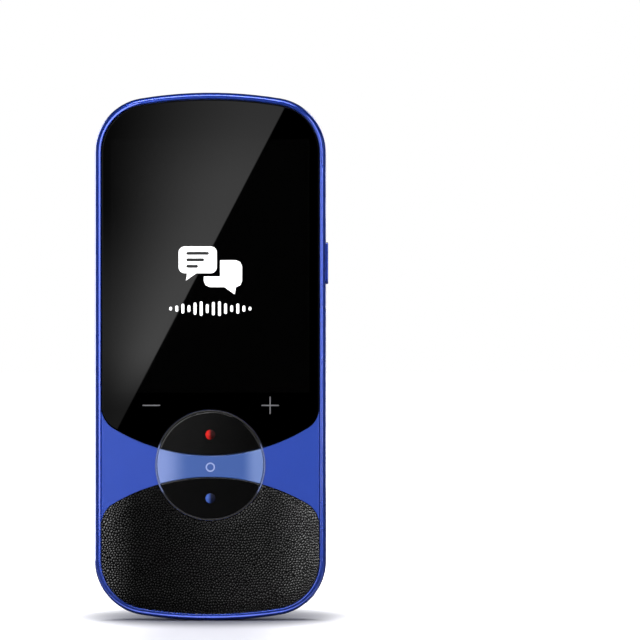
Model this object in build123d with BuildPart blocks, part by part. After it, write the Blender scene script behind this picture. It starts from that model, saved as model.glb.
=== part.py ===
from build123d import *
import math
import os

# Handheld voice translator, in millimetres. It stands upright with +Z up and its screen facing -Y.
# The origin is at the middle of the bottom end, half-way through the depth.

# ---------------------------------------------------------------- driving dimensions
body_height = 130.0
body_width = 57.0
body_depth = 12.0
corner_radius = 13.5
end_radius = 105.0            # the bow of the top and bottom ends

# Side frame
rim_inner_round = 0.25        # small round on the rim's inner edge
rim_drop = 0.15               # frame's crest lies this far behind the screen glass
rim_round_depth = 2.05        # how far back the rounded rim reaches
frame_wall = 1.6
frame_back_depth = 5.25       # parting line, measured back from the screen glass
ledge_width = 1.2             # inner ledge that carries the front panel
ledge_thickness = 0.7
seam_chamfer = 0.15

# Back shell
shell_seam_inset = 0.15
crown_depth = 1.5             # rounded side wall behind the parting line
crown_inset = 1.1
lip_step = 0.2
lip_depth = 0.55
lip_inset = 1.75
shell_edge_round = 6.5        # between the bevel and the flat back
shell_side_wall = 1.55        # at the lip
shell_wall = 1.5              # bevel and back
tongue_inset = 1.65
tongue_wall = 0.8
tongue_depth = 0.95

# Front panel, screen glass and pad
fit_gap = 0.05                # between bonded pieces
floor_thickness = 0.8
glass_thickness = 1.1
glass_inset = 1.75
glass_edge_round = 0.3
glass_gasket_thickness = 0.2
screen_edge_radius = 46.0
screen_edge_corner = 6.0
pad_edge_radius = 47.0
pad_edge_corner = 6.0
pad_thickness = 0.85
pad_edge_soft = 0.35
band_edge_round = 0.35        # long edges of the blue band beside the rim
band_tip_trim = 1.1           # the band's thin tips stop this far short of the corner rounds
band_gap = 0.08               # between the band and the glass or pad

# Key disc
disc_diameter = 27.1          # over the bright ring
disc_height = 38.3            # centre of the disc above the bottom end
screen_edge_above_disc = 2.4
pad_edge_below_disc = 3.0
bezel_width = 0.35
key_gap = 0.12
key_parting = 0.15            # between one key and the next
key_edge_round = 0.25
key_proud = 0.05
key_travel = 0.5
travel_margin = 0.05
flange_width = 0.8
flange_thickness = 0.5
stem_radius = 1.5
stem_length = 0.2
upper_dot_above_disc = 7.5
lower_dot_below_disc = 8.15
home_mark_below_disc = 0.5
dot_diameter = 2.4
dot_dome = 0.5
dot_seat = 0.6
mark_diameter = 2.3
mark_stroke = 0.34
mark_depth = 0.2
inlay_gap = 0.02

# Switches under the keys
membrane_thickness = 0.4
dome_height = 0.4
dome_radius = 2.5
key_board_thickness = 0.6
key_board_width = 37.0
key_board_height = 23.6
key_board_screw_x = 16.5
key_board_screw_z = 9.3

# Features along the side, on one centre line
edge_line_depth = 2.9         # centre line, measured back from the screen glass
power_key_length = 10.3
power_key_width = 2.2
power_key_proud = 0.5
power_key_from_top = 42.0
power_key_travel = 0.4
power_key_gap = 0.1
power_flange_overhang = 0.6
power_flange_thickness = 0.6
power_flange_width = 1.4
mic_hole_radius = 0.55
mic_from_top = 50.2
lanyard_start_angle = 24.5    # below the horizontal, round the bottom corner
lanyard_bar_start_angle = 36.8
lanyard_bar_end_angle = 51.2
lanyard_end_angle = 56.5
lanyard_height = 1.4
lanyard_depth = 2.4
lanyard_wall = 0.5
lanyard_bar_thickness = 1.25
lanyard_bar_proud = 0.05

# Camera
camera_from_top = 38.4
camera_bezel_diameter = 10.4
camera_bezel_flange = 0.8
camera_bezel_proud = 0.35
camera_neck_diameter = 9.4
camera_window_diameter = 8.4
camera_window_thickness = 0.7
camera_sight_diameter = 7.6
camera_holder_size = 8.5
camera_holder_height = 3.55
camera_barrel_diameter = 7.8
camera_barrel_wall = 0.4
camera_barrel_height = 1.9
camera_lens_sag = 0.7

# Speaker grille: rings of holes round the camera's centre
grille_rings = 6
grille_first_count = 5
grille_first_radius = 11.55
grille_ring_pitch = 2.39
grille_first_angle = 29.3     # half of the first ring's fan, in degrees
grille_flare = 0.52           # extra half angle, times the ring's number squared
grille_hole_radius = 0.6

# Speaker
speaker_width = 34.0
speaker_height = 18.0
speaker_thickness = 3.4
speaker_from_top = 20.5
speaker_gasket_thickness = 0.6
speaker_gasket_width = 0.5
speaker_mesh_thickness = 0.2
speaker_cone_depth = 0.8

# Display
display_side_border = 4.0     # from the device's side to the display
display_top_border = 11.5     # from the device's top end to the display
display_above_edge = 15.3     # from the screen glass's lower edge to the display
display_thickness = 1.6
display_gap = 0.3
ribbon_thickness = 0.15
display_ribbon_width = 14.0
display_ribbon_reach = 6.0

# Main board and what it carries
board_thickness = 0.8
main_board_inset = 2.9
main_board_above_keys = 0.4   # gap between the key board and the main board
main_board_top_screw_x = 14.0
main_board_top_screw_from_top = 5.8
main_board_low_screw_x = 20.0
main_board_low_screw_up = 3.0
shield_width = 16.0
shield_height = 18.0
shield_rise = 1.1
shield_wall = 0.2
shield_x = -12.0
shield_up = 15.7              # centre above the board's lower edge
mic_body_width = 1.9
mic_body_length = 3.5
mic_gasket_thickness = 0.2
power_switch_depth = 2.8
power_switch_length = 4.6
power_switch_thickness = 1.35
power_button_length = 1.6
power_button_reach = 0.4

# Battery, charging port and antenna
battery_side_margin = 9.2     # from the device's side to the battery
battery_bottom = 16.0
battery_below_camera = 13.35  # from the camera's holder to the battery
battery_thickness = 4.0
battery_round = 1.2
tape_thickness = 0.2
tape_side_margin = 4.0        # the tape lies this far inside the battery's sides
tape_end_margin = 5.0
port_width = 8.94
port_height = 3.1
port_round = 1.2
port_length = 7.3
port_recess = 0.5
port_metal = 0.25
port_gap = 0.08
port_depth = 3.3              # centre line, measured back from the screen glass
tongue_plate_width = 6.7
tongue_plate_thickness = 0.7
tongue_plate_length = 4.8
port_board_width = 24.0
port_board_height = 9.5
port_board_bottom = 4.2
port_screw_x = 8.5
port_screw_up = 6.0
board_ribbon_width = 6.0
board_ribbon_reach = 4.0
antenna_width = 20.0
antenna_height = 2.7
antenna_thickness = 0.15
antenna_from_top = 9.4

# Screws and the bosses that take them
screw_radius = 0.8
screw_head_radius = 1.4
screw_head_height = 0.6
screw_length = 1.6
boss_wall = 0.8

# ---------------------------------------------------------------- worked-out levels and places
front = -body_depth / 2
back = body_depth / 2
middle = body_height / 2
half_width = body_width / 2

corner_x = half_width - corner_radius
corner_rise = math.sqrt((end_radius - corner_radius) ** 2 - corner_x ** 2)
corner_turn = math.degrees(math.atan2(corner_rise, corner_x))
top_corner_z = body_height - end_radius + corner_rise
bottom_corner_z = end_radius - corner_rise

rim_y = front + rim_drop
seam_y = front + frame_back_depth
glass_back = front + glass_thickness
floor_front = glass_back + glass_gasket_thickness
floor_back = floor_front + floor_thickness
pad_floor = rim_y + pad_thickness
panel_inset = frame_wall + fit_gap

disc_radius = disc_diameter / 2
key_radius = disc_radius - bezel_width - key_gap
flange_radius = disc_radius + flange_width
notch_radius = disc_radius + 2 * fit_gap
key_front = front - key_proud
flange_back = floor_back + flange_thickness
stem_back = flange_back + stem_length
screen_edge_z = disc_height + screen_edge_above_disc
pad_edge_z = disc_height - pad_edge_below_disc
screen_arc_z = screen_edge_z + screen_edge_radius
pad_arc_z = pad_edge_z - pad_edge_radius
upper_dot_z = disc_height + upper_dot_above_disc
lower_dot_z = disc_height - lower_dot_below_disc
home_mark_z = disc_height - home_mark_below_disc
stem_places = [(0, upper_dot_z), (0, home_mark_z), (0, lower_dot_z)]

membrane_front = stem_back + key_travel + travel_margin
membrane_back = membrane_front + membrane_thickness
board_front = membrane_back + dome_height
key_board_back = board_front + key_board_thickness
main_board_back = board_front + board_thickness

inner_back = back - shell_wall
mesh_front = inner_back - speaker_mesh_thickness
gasket_front = mesh_front - speaker_gasket_thickness
speaker_front = gasket_front - speaker_thickness
tape_front = inner_back - tape_thickness
battery_front = tape_front - battery_thickness

edge_line = front + edge_line_depth
power_key_z = body_height - power_key_from_top
mic_z = body_height - mic_from_top
camera_z = body_height - camera_from_top
speaker_z = body_height - speaker_from_top

display_width = body_width - 2 * display_side_border
display_bottom = screen_edge_z + display_above_edge
display_top = body_height - display_top_border
display_height = display_top - display_bottom
display_z = (display_top + display_bottom) / 2
display_back = glass_back + display_thickness
main_board_bottom = disc_height + key_board_height / 2 + main_board_above_keys

battery_width = body_width - 2 * battery_side_margin
battery_top = camera_z - camera_holder_size / 2 - battery_below_camera
battery_height = battery_top - battery_bottom
battery_z = (battery_top + battery_bottom) / 2
tape_width = battery_width - 2 * tape_side_margin
tape_height = battery_height - 2 * tape_end_margin

port_y = front + port_depth
port_board_front = port_y + port_height / 2
port_board_back = port_board_front + board_thickness
port_board_z = port_board_bottom + port_board_height / 2
boss_radius = screw_radius + boss_wall


def both_sides(x, z):
    """A place and its mirror image across the device's centre line."""
    return [(-x, z), (x, z)]


main_screws_at = both_sides(main_board_top_screw_x, body_height - main_board_top_screw_from_top)
main_screws_at += both_sides(main_board_low_screw_x, main_board_bottom + main_board_low_screw_up)
key_screws_at = both_sides(key_board_screw_x, disc_height - key_board_screw_z)
key_screws_at += both_sides(key_board_screw_x, disc_height + key_board_screw_z)
port_screws_at = both_sides(port_screw_x, port_board_bottom + port_screw_up)


def level(y):
    """A sketch plane parallel to the screen at a depth. Its normal faces the user."""
    return Plane.XZ.offset(-y)


def outline_line(inset):
    """Draws the device's front outline, moved in from its edge, into the open line."""
    side = half_width - inset
    corner = corner_radius - inset
    end = end_radius - inset
    end_sweep = 180 - 2 * corner_turn
    Line((side, middle), (side, top_corner_z))
    CenterArc((corner_x, top_corner_z), corner, 0, corner_turn)
    CenterArc((0, body_height - end_radius), end, corner_turn, end_sweep)
    CenterArc((-corner_x, top_corner_z), corner, 180 - corner_turn, corner_turn)
    Line((-side, top_corner_z), (-side, bottom_corner_z))
    CenterArc((-corner_x, bottom_corner_z), corner, 180, corner_turn)
    CenterArc((0, end_radius), end, 180 + corner_turn, end_sweep)
    CenterArc((corner_x, bottom_corner_z), corner, -corner_turn, corner_turn)
    Line((side, bottom_corner_z), (side, middle))


def outline(y, inset):
    """The device's front outline as a face."""
    with BuildSketch(level(y)) as face:
        with BuildLine():
            outline_line(inset)
        make_face()
    return face.sketch


def screen_zone(y, inset, notch=0.0, gap=0.0):
    """The screen's area: the outline down to the bowed lower edge, with a notch for the key disc."""
    with BuildSketch(level(y)) as zone:
        with Locations((0, screen_arc_z)):
            Circle(screen_edge_radius + gap)
            Rectangle(body_width, body_height, align=(Align.CENTER, Align.MIN))
        with BuildLine():
            outline_line(inset)
        make_face(mode=Mode.INTERSECT)
        fillet(zone.vertices().group_by(Axis.Y)[0], radius=screen_edge_corner + gap)
        if notch:
            with Locations((0, disc_height)):
                Circle(notch, mode=Mode.SUBTRACT)
    return zone.sketch


def pad_zone(y, inset, notch=0.0, gap=0.0):
    """The pad's area: the outline up to the bowed upper edge, with a notch for the key disc."""
    with BuildSketch(level(y)) as zone:
        with Locations((0, pad_arc_z)):
            Circle(pad_edge_radius + gap)
        with BuildLine():
            outline_line(inset)
        make_face(mode=Mode.INTERSECT)
        fillet(zone.vertices().group_by(Axis.Y)[-1], radius=pad_edge_corner + gap)
        if notch:
            with Locations((0, disc_height)):
                Circle(notch, mode=Mode.SUBTRACT)
    return zone.sketch


def key_zone(y, radius, which):
    """One key's share of the round disc. The screen's and the pad's edges run on through it."""
    part_gap = key_parting / 2
    with BuildSketch(level(y)) as zone:
        with Locations((0, disc_height)):
            Circle(radius)
        if which == "upper":
            with Locations((0, screen_arc_z)):
                Circle(screen_edge_radius - part_gap, mode=Mode.INTERSECT)
        elif which == "lower":
            with Locations((0, pad_arc_z)):
                Circle(pad_edge_radius - part_gap, mode=Mode.INTERSECT)
        else:
            with Locations((0, screen_arc_z)):
                Circle(screen_edge_radius + part_gap, mode=Mode.SUBTRACT)
            with Locations((0, pad_arc_z)):
                Circle(pad_edge_radius + part_gap, mode=Mode.SUBTRACT)
    return zone.sketch


def rounds(y, places, radius):
    """Round spots at a list of places on the front, such as bosses or holes."""
    with BuildSketch(level(y)) as spots:
        with Locations(*places):
            Circle(radius)
    return spots.sketch


def block(y, x, z, width, height, corner=0.0):
    """A rectangle, with round corners if asked, at a place on the front."""
    with BuildSketch(level(y)) as shape:
        with Locations((x, z)):
            if corner:
                RectangleRounded(width, height, corner)
            else:
                Rectangle(width, height)
    return shape.sketch


def corner_sector(y, inner, outer, start, end):
    """A piece of a ring round the lower right corner's centre. Angles run down from the horizontal."""
    centre = Vector(corner_x, bottom_corner_z)
    with BuildSketch(level(y)) as sector:
        with BuildLine():
            far_arc = CenterArc(centre, outer, -end, end - start)
            near_arc = CenterArc(centre, inner, -end, end - start)
            Line(far_arc @ 0, near_arc @ 0)
            Line(far_arc @ 1, near_arc @ 1)
        make_face()
    return sector.sketch


def screws(seat, places, head_side):
    """Small pan-head screws. The head lies on a seat, and the shank runs away from the head's side."""
    with BuildPart() as group:
        if head_side == "back":
            extrude(rounds(seat + screw_head_height, places, screw_head_radius), amount=screw_head_height)
            extrude(rounds(seat, places, screw_radius), amount=screw_length)
        else:
            extrude(rounds(seat, places, screw_head_radius), amount=screw_head_height)
            extrude(rounds(seat + screw_length, places, screw_radius), amount=screw_length)
    return group.part


with BuildLine(Plane.XZ) as outline_path:
    outline_line(0)
edge_path = outline_path.wires()[0]


# ---------------------------------------------------------------- side frame
# One section swept round the outline: a rounded rim, a flat side and an inner ledge for the panel.
with BuildPart() as side_frame:
    with BuildSketch(Plane.XY.offset(middle)):
        with BuildLine():
            rim_crest_width = frame_wall - rim_inner_round
            crest_x = half_width - rim_crest_width
            ledge_inner = half_width - frame_wall - ledge_width
            EllipticalCenterArc(
                (crest_x, rim_y + rim_round_depth),
                rim_crest_width,
                rim_round_depth,
                start_angle=-90,
                arc_size=90,
            )
            CenterArc((crest_x, rim_y + rim_inner_round), rim_inner_round, 180, 90)
            Polyline(
                (half_width, rim_y + rim_round_depth),
                (half_width, seam_y - seam_chamfer),
                (half_width - seam_chamfer, seam_y),
                (half_width - frame_wall, seam_y),
                (half_width - frame_wall, floor_back + ledge_thickness),
                (ledge_inner, floor_back + ledge_thickness),
                (ledge_inner, floor_back),
                (half_width - frame_wall, floor_back),
                (half_width - frame_wall, rim_y + rim_inner_round),
            )
        make_face()
    sweep(path=edge_path)
    # block behind the lanyard pocket
    block_inner = corner_radius - lanyard_depth - lanyard_wall
    block_back = edge_line + lanyard_height / 2 + lanyard_wall
    extrude(
        corner_sector(
            block_back, block_inner, corner_radius - frame_wall / 2,
            lanyard_start_angle - 2, lanyard_end_angle + 2,
        ),
        amount=block_back - floor_back - fit_gap,
    )
    # lanyard pocket
    extrude(
        corner_sector(
            edge_line + lanyard_height / 2, corner_radius - lanyard_depth, corner_radius + 1,
            lanyard_start_angle, lanyard_end_angle,
        ),
        amount=lanyard_height,
        mode=Mode.SUBTRACT,
    )
    # window for the power key, clear through the ledge
    with BuildSketch(Plane.YZ.offset(half_width + 1)):
        with Locations((edge_line, power_key_z)):
            RectangleRounded(
                power_key_width + 2 * power_key_gap,
                power_key_length + 2 * power_key_gap,
                power_key_width / 2 - power_key_gap,
            )
    extrude(amount=-(1 + frame_wall), mode=Mode.SUBTRACT)
    # room for the key's flange and for the microphone inside the ledge
    flange_room = power_key_length + 2 * power_flange_overhang + 1
    with BuildSketch(level(seam_y)):
        with Locations((half_width - frame_wall, power_key_z)):
            Rectangle(2 * ledge_width, flange_room, align=(Align.MAX, Align.CENTER))
        with Locations((half_width - frame_wall, mic_z)):
            Rectangle(2 * ledge_width, mic_body_length + 1, align=(Align.MAX, Align.CENTER))
    extrude(amount=seam_y - floor_back, mode=Mode.SUBTRACT)
    # microphone hole
    with BuildSketch(Plane.YZ.offset(half_width + 1)):
        with Locations((edge_line, mic_z)):
            Circle(mic_hole_radius)
    extrude(amount=-(1 + frame_wall), mode=Mode.SUBTRACT)
    # slot for the charging port, clear through the ledge
    with BuildSketch(Plane.XY.offset(-1)):
        with Locations((0, port_y)):
            RectangleRounded(port_width + 2 * port_gap, port_height + 2 * port_gap, port_round)
    extrude(amount=2 + frame_wall + ledge_width, mode=Mode.SUBTRACT)
side_frame.part.label = "side_frame"

# ---------------------------------------------------------------- back shell
# The wall is one section swept round the outline, closed by the flat back.
crown_back = seam_y + crown_depth
lip_y = crown_back + lip_depth
bevel = back - lip_y
bevel_inset = lip_inset + bevel
inner_side = lip_inset + shell_side_wall
inner_bevel_inset = lip_inset + shell_wall * math.sqrt(2) + (inner_back - lip_y)
inner_bevel_start = inner_back - (inner_bevel_inset - inner_side)
flat_inset = bevel_inset + shell_edge_round

with BuildPart() as back_shell:
    with BuildSketch(Plane.XY.offset(middle)) as wall_section:
        with BuildLine():
            seam_edge = (half_width - shell_seam_inset, seam_y + seam_chamfer)
            crown_edge = (half_width - crown_inset, crown_back)
            step_edge = (half_width - crown_inset - lip_step, crown_back)
            lip_edge = (half_width - lip_inset, lip_y)
            crown = TangentArc(seam_edge, crown_edge, tangent=(0, 1))
            Polyline(
                crown_edge,
                step_edge,
                lip_edge,
                (half_width - bevel_inset, back),
                (half_width - flat_inset, back),
                (half_width - flat_inset, inner_back),
                (half_width - inner_bevel_inset, inner_back),
                (half_width - inner_side, inner_bevel_start),
                (half_width - inner_side, seam_y),
                (half_width - tongue_inset - tongue_wall, seam_y),
                (half_width - tongue_inset - tongue_wall, seam_y - tongue_depth),
                (half_width - tongue_inset, seam_y - tongue_depth),
                (half_width - tongue_inset, seam_y),
                (half_width - shell_seam_inset - seam_chamfer, seam_y),
                seam_edge,
            )
        make_face()
        bevel_corner = wall_section.vertices().sort_by_distance((half_width - bevel_inset, back, 0))[0]
        fillet(bevel_corner, radius=shell_edge_round)
    sweep(path=edge_path)
    extrude(outline(back, flat_inset), amount=shell_wall)
    # the tongue stops beside the charging port
    extrude(
        block(seam_y, 0, tongue_inset, port_width + 2, 4 * tongue_wall),
        amount=tongue_depth,
        mode=Mode.SUBTRACT,
    )
    # posts for the port board
    extrude(rounds(inner_back, port_screws_at, boss_radius), amount=inner_back - port_board_back)
    extrude(
        rounds(port_board_front + screw_length, port_screws_at, screw_radius),
        amount=screw_length,
        mode=Mode.SUBTRACT,
    )
    # seat and hole for the camera's ring
    seat_y = back + camera_bezel_proud - camera_bezel_flange
    extrude(
        rounds(back, [(0, camera_z)], camera_bezel_diameter / 2 + fit_gap),
        amount=back - seat_y,
        mode=Mode.SUBTRACT,
    )
    extrude(
        rounds(back, [(0, camera_z)], camera_neck_diameter / 2 + fit_gap),
        amount=2 * shell_wall,
        mode=Mode.SUBTRACT,
    )
    # speaker grille: six rings of holes, one more hole in each
    with BuildSketch(level(back)):
        for ring in range(grille_rings):
            count = grille_first_count + ring
            radius = grille_first_radius + ring * grille_ring_pitch
            half_fan = grille_first_angle + grille_flare * ring ** 2
            with Locations((0, camera_z)):
                with PolarLocations(
                    radius, count, start_angle=90 - half_fan, angular_range=2 * half_fan, endpoint=True
                ):
                    Circle(grille_hole_radius)
    extrude(amount=shell_wall, mode=Mode.SUBTRACT)
back_shell.part.label = "back_shell"

# ---------------------------------------------------------------- front panel
# A floor inside the frame. Its raised band shows between the screen glass and the pad.
zone_side = half_width - glass_inset + band_gap
screen_round = screen_edge_corner + band_gap
pad_round = pad_edge_corner + band_gap
screen_corner_z = screen_arc_z - math.sqrt(
    (screen_edge_radius - screen_edge_corner) ** 2 - (zone_side - screen_round) ** 2
)
pad_corner_z = pad_arc_z + math.sqrt(
    (pad_edge_radius - pad_edge_corner) ** 2 - (zone_side - pad_round) ** 2
)
band_top = screen_corner_z - band_tip_trim
band_bottom = pad_corner_z + band_tip_trim
band_height = floor_front - rim_y

with BuildPart() as band:
    extrude(outline(floor_front, panel_inset), amount=band_height)
    extrude(
        block(floor_front, 0, (band_top + band_bottom) / 2, body_width, band_top - band_bottom),
        amount=band_height,
        mode=Mode.INTERSECT,
    )
    for zone in (screen_zone, pad_zone):
        extrude(
            zone(floor_front, glass_inset - band_gap, gap=band_gap),
            amount=band_height,
            mode=Mode.SUBTRACT,
        )
    extrude(
        rounds(floor_front, [(0, disc_height)], disc_radius + fit_gap),
        amount=band_height,
        mode=Mode.SUBTRACT,
    )
    fillet(band.edges().filter_by(Axis.Z).group_by(Axis.Y)[0], radius=band_edge_round)

with BuildPart() as front_panel:
    extrude(outline(floor_back, panel_inset), amount=floor_thickness)
    extrude(pad_zone(floor_front, panel_inset), amount=floor_front - pad_floor)
    add(band.part)
    # window for the display and hole for the keys
    extrude(
        block(floor_back, 0, display_z, display_width + 2 * display_gap, display_height + 2 * display_gap),
        amount=floor_thickness,
        mode=Mode.SUBTRACT,
    )
    extrude(
        rounds(floor_back, [(0, disc_height)], key_radius + key_gap),
        amount=floor_back - front,
        mode=Mode.SUBTRACT,
    )
    # seat for the bright ring
    extrude(
        rounds(floor_front, [(0, disc_height)], disc_radius + fit_gap),
        amount=floor_front - front,
        mode=Mode.SUBTRACT,
    )
    # room for the charging port
    port_front = port_y - port_height / 2 - port_gap
    extrude(
        block(floor_back, 0, port_length / 2, port_width + 4 * port_gap, port_length + 4 * port_gap + 2),
        amount=floor_back - port_front,
        mode=Mode.SUBTRACT,
    )
    # bosses for the two boards
    extrude(rounds(board_front, main_screws_at + key_screws_at, boss_radius), amount=board_front - floor_back)
    extrude(
        rounds(board_front, main_screws_at + key_screws_at, screw_radius),
        amount=screw_length,
        mode=Mode.SUBTRACT,
    )
front_panel.part.label = "front_panel"

# ---------------------------------------------------------------- screen glass and its gasket
with BuildPart() as screen_glass:
    extrude(screen_zone(glass_back, glass_inset, notch=notch_radius), amount=glass_thickness)
    fillet(screen_glass.faces().sort_by(Axis.Y)[0].edges(), radius=glass_edge_round)
screen_glass.part.label = "screen_glass"

with BuildPart() as glass_gasket:
    extrude(
        screen_zone(floor_front, glass_inset, notch=notch_radius), amount=glass_gasket_thickness
    )
    extrude(
        block(floor_front, 0, display_z, display_width + 2 * display_gap, display_height + 2 * display_gap),
        amount=glass_gasket_thickness,
        mode=Mode.SUBTRACT,
    )
glass_gasket.part.label = "glass_gasket"

# ---------------------------------------------------------------- display and its ribbon
with BuildPart() as display_module:
    extrude(block(display_back, 0, display_z, display_width, display_height), amount=display_thickness)
display_module.part.label = "display_module"

with BuildPart() as display_ribbon:
    with BuildSketch(Plane.YZ.offset(-display_ribbon_width / 2)):
        with BuildLine():
            near = display_back + ribbon_thickness / 2
            far = board_front - ribbon_thickness / 2
            fold_z = display_bottom - display_gap - (far - near) / 2
            FilletPolyline(
                (near, display_bottom + display_ribbon_reach),
                (near, fold_z),
                (far, fold_z),
                (far, display_bottom + display_ribbon_reach / 2),
                radius=(far - near) * 0.4,
            )
        trace(line_width=ribbon_thickness)
    extrude(amount=display_ribbon_width)
display_ribbon.part.label = "display_ribbon"

# ---------------------------------------------------------------- leather pad
with BuildPart() as leather_pad:
    extrude(pad_zone(pad_floor, glass_inset, notch=notch_radius), amount=pad_thickness)
    fillet(leather_pad.faces().sort_by(Axis.Y)[0].edges(), radius=pad_edge_soft)
leather_pad.part.label = "leather_pad"

# ---------------------------------------------------------------- bright ring round the keys
with BuildPart() as key_bezel:
    extrude(rounds(floor_front, [(0, disc_height)], disc_radius), amount=floor_front - front)
    extrude(
        rounds(floor_front, [(0, disc_height)], disc_radius - bezel_width),
        amount=floor_front - front,
        mode=Mode.SUBTRACT,
    )
    chamfer(key_bezel.faces().sort_by(Axis.Y)[0].edges(), length=bezel_width / 4)
key_bezel.part.label = "key_bezel"

# ---------------------------------------------------------------- the three push keys
# Each has a flange behind the panel that keeps it in, and a stem over its switch.
key_pieces = []
for which, stem_z in (("upper", upper_dot_z), ("home", home_mark_z), ("lower", lower_dot_z)):
    with BuildPart() as key:
        extrude(key_zone(floor_back, key_radius, which), amount=floor_back - key_front)
        fillet(key.faces().sort_by(Axis.Y)[0].edges(), radius=key_edge_round)
        extrude(key_zone(flange_back, flange_radius, which), amount=flange_thickness)
        extrude(rounds(stem_back, [(0, stem_z)], stem_radius), amount=stem_length)
        if which == "home":
            with BuildSketch(level(key_front)):
                with Locations((0, home_mark_z)):
                    Circle(mark_diameter / 2 + inlay_gap)
                    Circle(mark_diameter / 2 - mark_stroke - inlay_gap, mode=Mode.SUBTRACT)
            extrude(amount=-mark_depth, mode=Mode.SUBTRACT)
        else:
            extrude(
                rounds(key_front + dot_seat, [(0, stem_z)], dot_diameter / 2 + inlay_gap),
                amount=dot_seat,
                mode=Mode.SUBTRACT,
            )
    key.part.label = "home_key" if which == "home" else which + "_talk_key"
    key_pieces.append(key)

dot_pieces = []
for which, dot_z in (("upper", upper_dot_z), ("lower", lower_dot_z)):
    dot_radius = dot_diameter / 2
    with BuildPart() as dot:
        with BuildSketch(Plane.XY.offset(dot_z)):
            with BuildLine():
                Polyline((dot_radius, key_front), (dot_radius, key_front + dot_seat), (0, key_front + dot_seat))
                Line((0, key_front + dot_seat), (0, key_front - dot_dome))
                ThreePointArc(
                    (0, key_front - dot_dome),
                    (dot_radius * 0.55, key_front - dot_dome * 0.72),
                    (dot_radius, key_front),
                )
            make_face()
        revolve(axis=Axis((0, 0, dot_z), (0, 1, 0)))
    dot.part.label = which + "_key_dot"
    dot_pieces.append(dot)

with BuildPart() as home_key_mark:
    with BuildSketch(level(key_front + mark_depth)):
        with Locations((0, home_mark_z)):
            Circle(mark_diameter / 2)
            Circle(mark_diameter / 2 - mark_stroke, mode=Mode.SUBTRACT)
    extrude(amount=mark_depth)
home_key_mark.part.label = "home_key_mark"

# ---------------------------------------------------------------- membrane, dome switches, key board
with BuildPart() as key_membrane:
    extrude(rounds(membrane_back, [(0, disc_height)], disc_radius), amount=membrane_thickness)
key_membrane.part.label = "key_membrane"

with BuildPart() as key_switches:
    extrude(rounds(board_front, stem_places, dome_radius), amount=dome_height)
    fillet(key_switches.edges().group_by(Axis.Y)[0], radius=dome_height / 2)
key_switches.part.label = "key_switches"

with BuildPart() as key_board:
    extrude(
        block(key_board_back, 0, disc_height, key_board_width, key_board_height, corner=boss_wall),
        amount=key_board_thickness,
    )
    extrude(
        rounds(key_board_back, key_screws_at, screw_radius + fit_gap),
        amount=key_board_thickness,
        mode=Mode.SUBTRACT,
    )
key_board.part.label = "key_board"
key_board_screws = screws(key_board_back, key_screws_at, "back")
key_board_screws.label = "key_board_screws"

# ---------------------------------------------------------------- main board
with BuildPart() as main_board:
    extrude(outline(main_board_back, main_board_inset), amount=board_thickness)
    extrude(
        block(main_board_back, 0, 0, body_width, 2 * main_board_bottom),
        amount=board_thickness,
        mode=Mode.SUBTRACT,
    )
    extrude(
        rounds(main_board_back, main_screws_at, screw_radius + fit_gap),
        amount=board_thickness,
        mode=Mode.SUBTRACT,
    )
main_board.part.label = "main_board"
main_board_screws = screws(main_board_back, main_screws_at, "back")
main_board_screws.label = "main_board_screws"

shield_z = main_board_bottom + shield_up
shield_back = main_board_back + shield_rise
with BuildPart() as shield_can:
    extrude(block(shield_back, shield_x, shield_z, shield_width, shield_height), amount=shield_rise)
    extrude(
        block(
            shield_back - shield_wall,
            shield_x,
            shield_z,
            shield_width - 2 * shield_wall,
            shield_height - 2 * shield_wall,
        ),
        amount=shield_rise,
        mode=Mode.SUBTRACT,
    )
shield_can.part.label = "shield_can"

# ---------------------------------------------------------------- power key and its switch
# The head stands out of the frame's side. A narrower neck carries the flange inside the wall.
wall_inside = half_width - frame_wall
head_inner = half_width - panel_inset + power_key_travel + 2 * travel_margin
flange_inner = wall_inside - power_flange_thickness
with BuildPart() as power_key:
    with BuildSketch(Plane.YZ.offset(half_width + power_key_proud)):
        with Locations((edge_line, power_key_z)):
            RectangleRounded(power_key_width, power_key_length, power_key_width / 2 - 2 * power_key_gap)
    extrude(amount=-(half_width + power_key_proud - head_inner))
    fillet(power_key.faces().sort_by(Axis.X)[-1].edges(), radius=power_key_proud / 2)
    with BuildSketch(Plane.YZ.offset(head_inner)):
        with Locations((edge_line, power_key_z)):
            Rectangle(power_flange_width, power_key_length - 2 * power_key_gap)
    extrude(amount=-(head_inner - flange_inner))
    with BuildSketch(Plane.YZ.offset(wall_inside)):
        with Locations((edge_line, power_key_z)):
            Rectangle(power_flange_width, power_key_length + 2 * power_flange_overhang)
    extrude(amount=-power_flange_thickness)
power_key.part.label = "power_key"

button_tip = flange_inner - power_key_travel - travel_margin
switch_side = button_tip - power_button_reach
switch_y = board_front - power_switch_thickness / 2
with BuildPart() as power_switch:
    with BuildSketch(level(board_front)):
        with Locations((switch_side, power_key_z)):
            Rectangle(power_switch_depth, power_switch_length, align=(Align.MAX, Align.CENTER))
    extrude(amount=power_switch_thickness)
    with BuildSketch(Plane.YZ.offset(switch_side)):
        with Locations((switch_y, power_key_z)):
            Rectangle(power_switch_thickness / 2, power_button_length)
    extrude(amount=power_button_reach)
power_switch.part.label = "power_switch"

# ---------------------------------------------------------------- microphone and its gasket
mic_outer = wall_inside - mic_gasket_thickness
mic_front = floor_back + fit_gap
with BuildPart() as side_microphone:
    with BuildSketch(level(board_front)):
        with Locations((mic_outer, mic_z)):
            Rectangle(mic_body_width, mic_body_length, align=(Align.MAX, Align.CENTER))
    extrude(amount=board_front - mic_front)
side_microphone.part.label = "side_microphone"

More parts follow.
